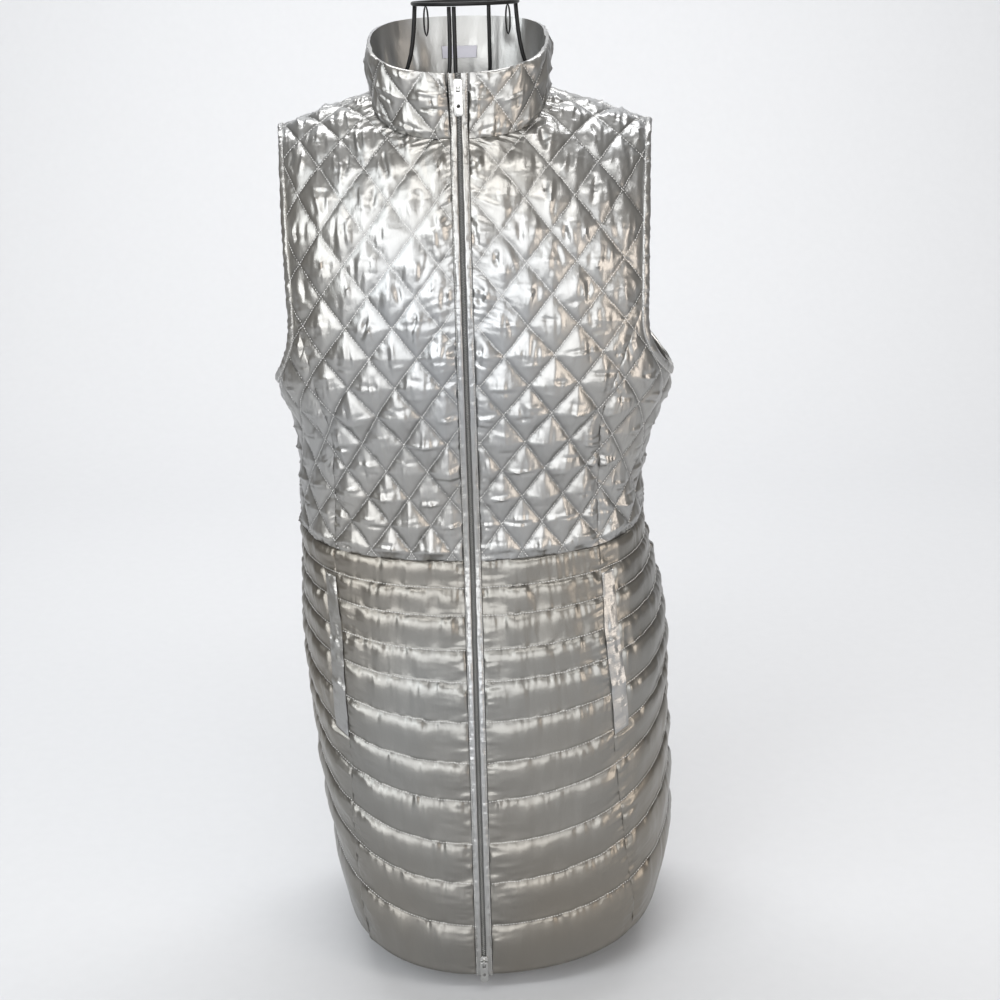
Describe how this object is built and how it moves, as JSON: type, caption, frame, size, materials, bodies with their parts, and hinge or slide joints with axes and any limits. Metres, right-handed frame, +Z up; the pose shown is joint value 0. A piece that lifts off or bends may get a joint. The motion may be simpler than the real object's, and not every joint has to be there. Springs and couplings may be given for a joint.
{
  "type": "quilted vest on wire dress form",
  "caption": "Long silver satin quilted vest with stand collar, pocket welts and full-length two-way zip, zipped up over a limbless black wire dress form.",
  "frame": {"origin": "on the floor under the middle of the part's box", "axes": "+Z up, the front with the zip faces -Y, and +X is to the right as the front is looked at"},
  "size_m": [0.4102, 0.3286, 1.0089],
  "materials": {
    "silver_satin": "metallic satin",
    "zip_metal": "polished",
    "black_wire": "satin"
  },
  "bodies": {
    "vest_on_form": {"bodice_front_left": "silver_satin", "bodice_front_right": "silver_satin", "bodice_side_left": "silver_satin", "bodice_side_right": "silver_satin", "bodice_back": "silver_satin", "skirt_front_left": "silver_satin", "skirt_front_right": "silver_satin", "skirt_side_left": "silver_satin", "skirt_side_right": "silver_satin", "skirt_back": "silver_satin", "pocket_welt_left": "silver_satin", "pocket_welt_right": "silver_satin", "collar": "silver_satin", "band_left": "silver_satin", "band_right": "silver_satin", "zip_chain": "zip_metal", "zip_slider_top": "zip_metal", "zip_slider_bottom": "zip_metal", "form_neck_ring": "black_wire", "form_loop_left": "black_wire", "form_loop_right": "black_wire", "form_front_wire_left": "black_wire", "form_front_wire_right": "black_wire", "form_back_wire": "black_wire", "form_left_wire_front": "black_wire", "form_left_wire_back": "black_wire", "form_right_wire_front": "black_wire", "form_right_wire_back": "black_wire", "form_bust_ring": "black_wire", "form_hip_ring": "black_wire", "form_base_ring": "black_wire", "form_foot_1": "black_wire", "form_foot_2": "black_wire", "form_foot_3": "black_wire", "form_foot_4": "black_wire"},
    "top_pull": {"zip_pull_top": "zip_metal"},
    "bottom_pull": {"zip_pull_bottom": "zip_metal"}
  },
  "joints": [
    {"name": "top_pull_hinge", "type": "hinge", "parent": "vest_on_form", "child": "top_pull", "pos_m": [-0.0069, -0.0679, 0.9336], "axis": [-1, 0, 0], "range_deg": [0, 150]},
    {"name": "bottom_pull_hinge", "type": "hinge", "parent": "vest_on_form", "child": "bottom_pull", "pos_m": [-0.0069, -0.1616, 0.0391], "axis": [-1, 0, 0], "range_deg": [0, 150]}
  ]
}
